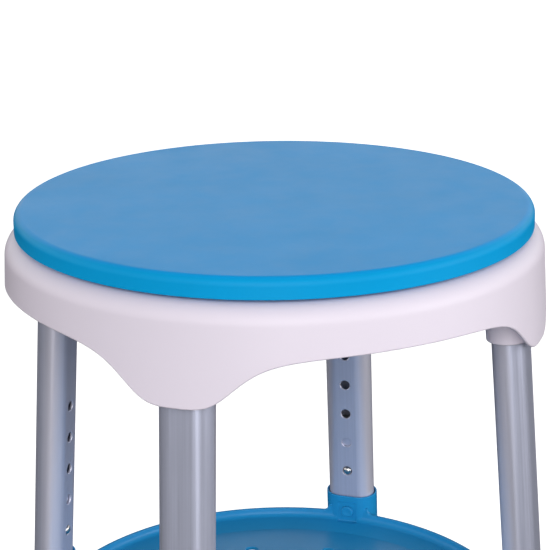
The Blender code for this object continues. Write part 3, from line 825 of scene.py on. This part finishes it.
def seat_base():
    """The base: the shell with a socket for each leg, its web and its rib."""
    tube_high = on_leg("leg_tube")[1]
    half_width = tube_high.y
    half_depth = tube_high.x
    socket_top = SOCKET_TOP_HEIGHT / cos(LEG_SPLAY)
    outer = GAP + SOCKET_WALL
    added = []
    cut = []
    for number in LEGS:
        placed = LEG_FRAMES[number]
        corners = [(INSIDE, SOCKET_BOTTOM, 0), (outer, SOCKET_BOTTOM, EDGE_ROUND)]
        corners.append((outer, socket_top, 0))
        profile = [(a, b, int(b == socket_top)) for a, b in rounded(corners)]
        sleeve = swept_oval(half_width, half_depth, profile, closed=False)
        added.append(moved(sleeve, placed))
        web_low = (half_depth, -WEB_HALF_WIDTH, SOCKET_BOTTOM + 0.001)
        web = block(web_low, (WEB_OUTER, WEB_HALF_WIDTH, WEB_TOP))
        added.append(moved(web, placed))
        profile = [
            (GAP + 0.003, SOCKET_BOTTOM - CUT_PAST),
            (GAP + SOCKET_CHAMFER, SOCKET_BOTTOM - 0.0002),
            (GAP, SOCKET_BOTTOM + SOCKET_CHAMFER),
            (GAP, tube_high.z + 2 * GAP),
        ]
        bore = swept_oval(half_width, half_depth, profile, closed=False)
        cut.append(moved(bore, placed))
        ends = [(-half_depth - outer - CUT_PAST, SCREW_HOLE), (CUT_END, SCREW_HOLE)]
        cut.append(moved(rod_along_x(ends, middle_height("leg_screw"), 32), placed))
        half = RIB_THICKNESS / 2
        rib = block((RIB_START, -half, RIB_BOTTOM), (RIB_END, half, SOCKET_TOP_HEIGHT))
        turn = LEG_FIRST_ANGLE + (number - 1) * LEG_STEP
        added.append(moved(rib, Matrix.Rotation(turn, 4, "Z")))
    mesh = combined("seat_base", base_shell(), added, cut)
    piece("seat_base_fine", mesh, "stool_frame", "base_white", ["seat_base"])


# ---- legs


def hole_cutter(height, radius, half_depth, chamfer=0.0004):
    """A round hole's cutter through a tube's inner side, with a small countersink."""
    start = (-half_depth - CUT_PAST, radius + chamfer + CUT_PAST)
    profile = [start, (-half_depth + chamfer, radius), (-half_depth * 0.5, radius)]
    return rod_along_x(profile, height, 48)


def oval_tube(low, high, wall):
    """A leg's oval tube, with the edges of its ends rounded."""
    ends = [(0.0, low.z), (0.0, high.z), (-wall, high.z), (-wall, low.z)]
    section = rounded([(*end, TUBE_EDGE_ROUND) for end in ends], closed=True, steps=2)
    return swept_oval(high.y, high.x, section)


HOLE_PITCH = 0.025
HEIGHT_SETTINGS = 5
HOLE_RADIUS = 0.0038
PIN_HOLE = 0.0037
TUBE_WALL = 0.0015
EXTENSION_WALL = 0.0014
TUBE_EDGE_ROUND = 0.0003
SCREW_HEAD = 0.0017
SCREW_RIM = 0.0003  # straight part of the screw's head, under its dome
SCREW_SHANK = 0.0017
SCREW_THREADS = 7
SLOT_REACH = 0.0022
SLOT_HALF_WIDTH = 0.00045
BUTTON_RADIUS = 0.0034
BUTTON_DOME = 0.0022
SPRING_THICKNESS = 0.0006


def leg_tubes():
    """The outer tubes, with their adjusting holes, pin hole and screw hole."""
    low, high = on_leg("leg_tube")
    button = middle_height("snap_button")
    holes = [(button + k * HOLE_PITCH, HOLE_RADIUS) for k in range(HEIGHT_SETTINGS)]
    holes.append((middle_height("tray_pin"), PIN_HOLE))
    holes.append((middle_height("leg_screw"), SCREW_HOLE))
    cut = [hole_cutter(height, radius, high.x) for height, radius in holes]
    mesh = combined("leg_tube", oval_tube(low, high, TUBE_WALL), cut=cut)
    on_each_leg("leg_tube", mesh, "anodised_aluminium")


def extension_tubes():
    """The inner tubes, each with one hole for its button."""
    low, high = on_leg("extension_tube")
    cut = [hole_cutter(middle_height("snap_button"), HOLE_RADIUS, high.x, 0.0002)]
    mesh = combined("extension_tube", oval_tube(low, high, EXTENSION_WALL), cut=cut)
    on_each_leg("extension_tube", mesh, "anodised_aluminium", "leg_extension")


def tube_plugs():
    """The plugs in the extensions' upper ends."""
    low, high = on_leg("tube_plug")
    extension_top = on_leg("extension_tube")[1].z
    rim = extension_top + GAP
    inset = -(EXTENSION_WALL + GAP)
    corners = [
        (-high.x * CAP_INSET, low.z, 0),
        (inset - 0.0006, low.z, 0.0005),
        (inset, low.z + 0.002, 0),
        (inset, rim, 0),
        (0.0, rim, 0.0002),
        (0.0, high.z, 0.001),
        (-high.x * CAP_INSET, high.z, 0),
    ]
    mesh = as_mesh("tube_plug", swept_oval(high.y, high.x, rounded(corners), closed=False))
    on_each_leg("tube_plug", mesh, "grey_plastic", "leg_extension")


def guide_bushes():
    """The bushes on the leg tubes' lower ends, each with a grip ring round it."""
    low, high = on_leg("guide_bush")
    tube_low, tube_high = on_leg("leg_tube")
    extension_high = on_leg("extension_tube")[1]
    wall = high.x - tube_high.x
    inner = tube_high.x + GAP - high.x
    lip = extension_high.x + 0.0004 - high.x
    shelf = tube_low.z - GAP
    middle = (low.z + high.z) / 2
    corners = [
        (0.0, low.z, 0.0012),
        (0.0, middle - 0.004, 0),
        (-wall * 0.3, middle - 0.003, 0.0004),
        (-wall * 0.3, middle + 0.003, 0.0004),
        (0.0, middle + 0.004, 0),
        (0.0, high.z, 0.001),
        (inner, high.z, 0.0003),
        (inner, shelf, 0),
        (lip, shelf, 0.0003),
        (lip, low.z, 0.0006),
    ]
    mesh = as_mesh("guide_bush", swept_oval(high.y, high.x, rounded(corners, closed=True)))
    on_each_leg("guide_bush", mesh, "grey_plastic")


def leg_screws():
    """Pan-head screws with a cross recess, one through each socket."""
    low, high = on_leg("leg_screw")
    middle = (low.z + high.z) / 2
    head_radius = (high.z - low.z) / 2
    face = low.x + SCREW_HEAD
    profile = dome(low.x, SCREW_HEAD - SCREW_RIM, head_radius, 7)
    profile += [(face, head_radius), (face, SCREW_SHANK)]
    pitch = (high.x - face) / SCREW_THREADS
    for number in range(SCREW_THREADS):
        start = face + number * pitch
        profile += [(start + pitch * 0.5, SCREW_SHANK * 0.8), (start + pitch * 0.95, SCREW_SHANK)]
    profile += [(high.x, SCREW_SHANK * 0.6), (high.x, 0.0)]
    start = low.x - 0.001
    end = low.x + 0.0009
    slots = [
        block((start, -across, middle - along), (end, across, middle + along))
        for across, along in ((SLOT_REACH, SLOT_HALF_WIDTH), (SLOT_HALF_WIDTH, SLOT_REACH))
    ]
    mesh = combined("leg_screw", rod_along_x(profile, middle, 40), cut=slots)
    on_each_leg("leg_screw", mesh, "stainless_steel")


def snap_buttons():
    """Domed spring buttons, each with the flange that stops it in the extension."""
    low, high = on_leg("snap_button")
    height = middle_height("snap_button")
    flange_radius = (high.z - low.z) / 2
    flange = high.x - 0.0012
    profile = dome(low.x, BUTTON_DOME, BUTTON_RADIUS, 9)
    profile += [
        (flange, BUTTON_RADIUS),
        (flange, flange_radius - 0.0002),
        (flange + 0.0002, flange_radius),
        (high.x, flange_radius),
        (high.x, 0.0),
    ]
    mesh = as_mesh("snap_button", rod_along_x(profile, height, 48))
    on_each_leg("snap_button", mesh, "stainless_steel", "lock_button")


def button_springs():
    """V springs of flat steel behind the buttons, whose front leaves would flex with them; here
    each is baked in place and does not flex.
    """
    low, high = on_leg("button_spring")
    half_width = high.y
    height = middle_height("snap_button")
    half = SPRING_THICKNESS / 2
    front = low.x + half
    back = high.x - half
    bottom = low.z + half
    route = rounded(
        [
            (front, high.z, 0),
            (front, height - 0.007, 0.006),
            (-0.0005, bottom, 0.001),
            (0.0015, bottom, 0.001),
            (back, height - 0.020, 0.006),
            (back, height + 0.004, 0),
        ],
        steps=6,
    )
    rings = []
    for number, (x, z) in enumerate(route):
        before = Vector(route[max(number - 1, 0)])
        after = Vector(route[min(number + 1, len(route) - 1)])
        along = (after - before).normalized()
        side = Vector((-along.y, along.x)) * half
        ends = ((1, -1), (1, 1), (-1, 1), (-1, -1))
        rings.append([(x + a * side.x, b * half_width, z + a * side.y) for a, b in ends])
    mesh = as_mesh("button_spring", from_rings(rings, closed=False))
    for number in LEGS:
        placed = LEG_FRAMES[number]
        fixed = placed @ Vector((back, 0, height))
        pressed = placed @ Vector((front, 0, height))
        bend = (f"lock_button_{number}", fixed, pressed)
        name = f"button_spring_fine_{number}"
        replaced = [f"button_spring_{number}"]
        rides = f"leg_extension_{number}"
        piece(name, mesh.copy(), rides, "stainless_steel", replaced, placed, bend)


FOOT_RINGS = 3
FOOT_WALL = 0.003
FOOT_RING_DEPTH = 0.0007
FOOT_RING_ROUND = 0.0003
SOLE_HEIGHT = 0.006
SOLE_GROOVE = 0.0008


def rubber_feet():
    """Ribbed rubber feet with a flared sole, cut level with the floor."""
    high = on_leg("rubber_foot")[1]
    extension_high = on_leg("extension_tube")[1]
    washer_low = on_leg("foot_washer")[0]
    half_width = extension_high.y
    half_depth = extension_high.x
    neck = GAP + FOOT_WALL
    flare = high.x - half_depth
    sole_top = SOLE_HEIGHT / cos(LEG_SPLAY)
    neck_start = 0.013
    floor = washer_low.z - GAP
    corners = [
        (-half_depth * 0.75, 0.0, 0),
        (flare - 0.0075, 0.0, 0),
        (flare - 0.0070, SOLE_GROOVE, 0),
        (flare - 0.0055, SOLE_GROOVE, 0),
        (flare - 0.0050, 0.0, 0),
        (flare, 0.0, 0.0006),
        (flare, sole_top, 0.0015),
        (neck, neck_start, 0.003),
    ]
    ring_pitch = (high.z - neck_start - 0.008) / FOOT_RINGS
    for number in range(FOOT_RINGS):
        start = neck_start + 0.005 + number * ring_pitch
        groove = neck - FOOT_RING_DEPTH
        for offset, up in ((neck, 0.0), (groove, 0.0008), (groove, 0.0022), (neck, 0.003)):
            corners.append((offset, start + up, FOOT_RING_ROUND))
    corners += [
        (neck, high.z, 0.0009),
        (GAP, high.z, 0.0004),
        (GAP, floor, 0),
        (-half_depth * CAP_INSET, floor, 0),
    ]
    profile = [(a, b, int(b < sole_top + 0.001)) for a, b in rounded(corners)]
    mesh = as_mesh("rubber_foot", swept_oval(half_width, half_depth, profile, closed=False))
    on_each_leg("rubber_foot", mesh, "grey_rubber", "leg_extension")


def foot_washers():
    """Steel plates under the extensions' ends, inside the feet."""
    low, high = on_leg("foot_washer")
    corners = [
        (-high.x * CAP_INSET, low.z, 0),
        (0.0, low.z, SMALL_ROUND),
        (0.0, high.z, SMALL_ROUND),
        (-high.x * CAP_INSET, high.z, 0),
    ]
    mesh = as_mesh("foot_washer", swept_oval(high.y, high.x, rounded(corners), closed=False))
    on_each_leg("foot_washer", mesh, "stainless_steel", "leg_extension")


# ---- tray


TRAY_STEP = radians(1.2)
GUSSET_STEPS = 10
TRAY_THICKNESS = 0.0025
TRAY_FLOOR_RADIUS = 0.150
COLLAR_WALL = 0.002
DRAIN_RADIUS = 0.005
DRAIN_RINGS = ((0.060, 6), (0.115, 12))
DRAIN_TURN = radians(2.3)  # keeps the drains' corners off the dish's radial edges
GUSSET = 0.0048
RIM_HEIGHT = 0.010
RIM_RADIUS = 0.171
RIM_LIP = 0.0011
COLLAR_BOTTOM = 0.178
COLLAR_TOP = 0.212
COLLAR_LEAD_IN = 0.0009
DRAIN_CHAMFER = 0.0006
RECESS_DEPTH = 0.0005
RECESS_HALF_WIDTH = 0.0080
RECESS_BELOW = 0.0095
RECESS_ABOVE = 0.0085
RECESS_ROUND = 0.0015
PIN_RADIUS = 0.0034
PIN_DIMPLE = 0.0004
COLLAR_OVERLAP = 0.0003  # how far the rim's rise runs into the collar


def tray_angles(reach, fillet):
    """Angles round the dish, close together where the rim sweeps up beside a collar."""
    plain = round((LEG_STEP / 2 - reach - fillet) / TRAY_STEP)
    across = round(reach / TRAY_STEP)
    half = [reach * step / across for step in range(across)]
    half += [reach + fillet * step / GUSSET_STEPS for step in range(GUSSET_STEPS)]
    start = reach + fillet
    half += [start + (LEG_STEP / 2 - start) * step / plain for step in range(plain)]
    offsets = [-off for off in reversed(half)] + half[1:]
    offsets.append(LEG_STEP / 2)
    angles = []
    for leg in range(len(LEGS)):
        angles += [LEG_FIRST_ANGLE + leg * LEG_STEP + off for off in offsets]
    return angles


def tray_dish(rim_height, floor_height, collar_reach):
    """The dish: a turned section whose rim sweeps up to the collars in small fillets."""
    low = floor_height - TRAY_THICKNESS
    inner = RIM_RADIUS - TRAY_THICKNESS
    corners = [
        (TRAY_FLOOR_RADIUS * 0.3, floor_height, 0),
        (TRAY_FLOOR_RADIUS, floor_height, 0.010),
        (inner - 0.0005, floor_height + 0.004, 0.005),
        (inner, rim_height, RIM_LIP),
        (RIM_RADIUS, rim_height, RIM_LIP),
        (RIM_RADIUS, floor_height + 0.001, 0.006),
        (TRAY_FLOOR_RADIUS + 0.003, low, 0.008),
        (TRAY_FLOOR_RADIUS * 0.3, low, 0),
    ]
    section = [(0.0, floor_height), *rounded(corners, steps=6), (0.0, low)]
    angles = tray_angles(collar_reach / RIM_RADIUS, GUSSET / RIM_RADIUS)
    rings = []
    for radius, height in section:
        if radius < TINY:
            rings.append([(0, 0, height)])
            continue
        ring = []
        for angle in angles:
            beyond = max(0.0, abs(from_nearest_leg(angle)) * RIM_RADIUS - collar_reach)
            part = max(0.0, 1 - beyond / GUSSET)
            rise = GUSSET * (1 - sqrt(max(0.0, 1 - part * part)))
            lifted = height + rise if height > rim_height - 2 * RIM_LIP else height
            ring.append((radius * cos(angle), radius * sin(angle), lifted))
        rings.append(ring)
    return from_rings(rings, closed=False)


def tray():
    """The tray: dish, collars with a recess for each pin, and drain holes."""
    tube_high = on_leg("leg_tube")[1]
    pin_height = middle_height("tray_pin")
    half_width = tube_high.y
    half_depth = tube_high.x
    floor_height = mount("tray_floor")["pos_m"][2]
    rim_height = floor_height + RIM_HEIGHT
    outer = GAP + COLLAR_WALL
    face = -(half_depth + outer)
    added = []
    cut = []
    for number in LEGS:
        placed = LEG_FRAMES[number]
        corners = [
            (INSIDE, COLLAR_BOTTOM, 0),
            (outer, COLLAR_BOTTOM, 0.0008),
            (outer, COLLAR_TOP, 0.0007),
            (INSIDE, COLLAR_TOP, 0),
        ]
        sleeve = swept_oval(half_width, half_depth, rounded(corners), closed=False)
        added.append(moved(sleeve, placed))
        profile = [
            (GAP + 0.002, COLLAR_BOTTOM - CUT_PAST),
            (GAP, COLLAR_BOTTOM + 0.0004),
            (GAP, COLLAR_TOP - 2.2 * COLLAR_LEAD_IN),
            (GAP + COLLAR_LEAD_IN, COLLAR_TOP - 0.0004),
            (GAP + COLLAR_LEAD_IN + 0.001, COLLAR_TOP + CUT_PAST),
        ]
        cut.append(moved(swept_oval(half_width, half_depth, profile, closed=False), placed))
        recess = block(
            (face - 0.004, -RECESS_HALF_WIDTH, pin_height - RECESS_BELOW),
            (face + RECESS_DEPTH, RECESS_HALF_WIDTH, pin_height + RECESS_ABOVE),
            RECESS_ROUND,
        )
        cut.append(moved(recess, placed))
        ends = [(-0.020, PIN_RADIUS + GAP), (CUT_END, PIN_RADIUS + GAP)]
        cut.append(moved(rod_along_x(ends, pin_height, 40), placed))
    for ring_radius, count in DRAIN_RINGS:
        for number in range(count):
            angle = 2 * pi * (number + 0.5) / count
            profile = [
                (DRAIN_RADIUS, floor_height - 0.006),
                (DRAIN_RADIUS, floor_height - DRAIN_CHAMFER),
                (DRAIN_RADIUS + DRAIN_CHAMFER * 2, floor_height + DRAIN_CHAMFER),
            ]
            place = Matrix.Translation((ring_radius * cos(angle), ring_radius * sin(angle), 0))
            cut.append(moved(turned(profile, 36), place @ Matrix.Rotation(DRAIN_TURN, 4, "Z")))
    axis_radius = (LEG_FRAMES[1] @ Vector((0, 0, rim_height))).xy.length
    end_radius = half_depth + outer
    reach = half_width - half_depth + sqrt(end_radius**2 - (axis_radius - RIM_RADIUS) ** 2)
    dish = tray_dish(rim_height, floor_height, reach - COLLAR_OVERLAP)
    mesh = combined("tray", dish, added, cut)
    piece("tray_fine", mesh, "stool_frame", "tray_blue", ["tray"])


def tray_pins():
    """Push pins with a domed head and a finger dimple, one in each collar."""
    low, high = on_leg("tray_pin")
    head_radius = (high.z - low.z) / 2
    tube_high = on_leg("leg_tube")[1]
    face = -(tube_high.x + GAP + COLLAR_WALL) + RECESS_DEPTH - 0.0002
    dimple_steps = 5
    profile = []
    for step in range(dimple_steps + 1):
        part = step / dimple_steps
        profile.append((low.x + PIN_DIMPLE * (1 - part * part), head_radius * 0.62 * part))
    profile += rounded(
        [
            (low.x, head_radius * 0.64, 0),
            (low.x, head_radius, 0.0007),
            (face, head_radius, 0.0003),
            (face, PIN_RADIUS, 0),
            (high.x, PIN_RADIUS, 0.0004),
            (high.x, 0.0, 0),
        ]
    )
    mesh = as_mesh("tray_pin", rod_along_x(profile, middle_height("tray_pin"), 48))
    on_each_leg("tray_pin", mesh, "tray_blue")


# ---- camera, floor and light


FLOOR_SIZE = 80.0
FLOOR_DROP = 0.0002
LIGHT_DISTANCE = 3.0
HORIZON = 0.03
WALL_TOP = 0.35
WALL_STRENGTH = 1.32
CEILING_START = 0.65
CEILING_STRENGTH = 0.12
FRONT_POWER = 32.0
FILL_POWER = 10.0
SIDE_POWER = 27.0


def camera():
    """The camera, where the stool is seen from just above its seat."""
    data = bpy.data.cameras.new("camera")
    data.sensor_width = CAMERA_SENSOR
    data.lens = CAMERA_LENS
    data.clip_end = 200.0
    made = new_object("camera", data)
    made.matrix_world = (
        Matrix.Rotation(CAMERA_TURN, 4, "Z")
        @ Matrix.Translation((0, -CAMERA_DISTANCE, CAMERA_HEIGHT))
        @ Matrix.Rotation(pi / 2 - CAMERA_PITCH, 4, "X")
        @ Matrix.Rotation(CAMERA_ROLL, 4, "Z")
    )
    bpy.context.scene.camera = made


def floor():
    """A plain pale floor, which glows a little and lights nothing."""
    edit = bmesh.new()
    bmesh.ops.create_grid(edit, x_segments=1, y_segments=1, size=FLOOR_SIZE / 2)
    mesh = as_mesh("floor", edit)
    made = new_object("floor", mesh)
    made.location.z = -FLOOR_DROP
    finish = bpy.data.materials.new("floor")
    finish.use_nodes = True
    shader = finish.node_tree.nodes["Principled BSDF"]
    shader.inputs["Base Color"].default_value = (0.85, 0.85, 0.86, 1.0)
    shader.inputs["Roughness"].default_value = 0.9
    shader.inputs["Specular IOR Level"].default_value = 0.1
    shader.inputs["Emission Color"].default_value = (1.0, 1.0, 1.0, 1.0)
    shader.inputs["Emission Strength"].default_value = 0.8
    mesh.materials.append(finish)
    made.visible_diffuse = False
    made.visible_glossy = False


def softbox(name, azimuth, elevation, size, power):
    """A square light aimed at the middle of the stool. Azimuth is to the camera's right."""
    data = bpy.data.lights.new(name, "AREA")
    data.shape = "SQUARE"
    data.size = size
    data.energy = power
    made = new_object(name, data)
    turn = CAMERA_TURN + azimuth
    back = Vector((sin(turn) * cos(elevation), -cos(turn) * cos(elevation), sin(elevation)))
    middle = (cad_low + cad_high) / 2
    made.location = middle + back * LIGHT_DISTANCE
    made.rotation_euler = (-back).to_track_quat("-Z", "Y").to_euler()


def sky():
    """Soft light from all round above the floor, strongest low down, as from pale walls."""
    world = bpy.data.worlds.new("studio")
    bpy.context.scene.world = world
    world.use_nodes = True
    tree = world.node_tree
    where = add_node(tree, "ShaderNodeTexCoord").outputs["Generated"]
    height = add_node(tree, "ShaderNodeSeparateXYZ", inputs={"Vector": where}).outputs["Z"]
    smooth = {"interpolation_type": "SMOOTHSTEP"}
    above_floor = spread(tree, height, 0.0, 1.0, -HORIZON, HORIZON, smooth)
    strengths = (WALL_STRENGTH, CEILING_STRENGTH)
    walls = spread(tree, height, *strengths, WALL_TOP, CEILING_START, smooth)
    inputs = {0: above_floor, 1: walls}
    light = add_node(tree, "ShaderNodeMath", {"operation": "MULTIPLY"}, inputs).outputs["Value"]
    backdrop = tree.nodes["Background"]
    backdrop.inputs["Color"].default_value = (1.0, 1.0, 1.0, 1.0)
    tree.links.new(light, backdrop.inputs["Strength"])


def lights():
    """A softbox and a low fill in front, a softbox to the right, and the soft light all round."""
    sky()
    softbox("front", radians(0), radians(25), 1.6, FRONT_POWER)
    softbox("fill", radians(0), radians(0), 0.5, FILL_POWER)
    softbox("side", radians(70), radians(12), 1.6, SIDE_POWER)
    bpy.context.scene.view_settings.view_transform = "Standard"


# ---- the stool


seat_disc()
pivot()
ball_race()
seat_base()
leg_tubes()
extension_tubes()
tube_plugs()
guide_bushes()
leg_screws()
snap_buttons()
button_springs()
rubber_feet()
foot_washers()
tray()
tray_pins()
floor()
camera()
lights()
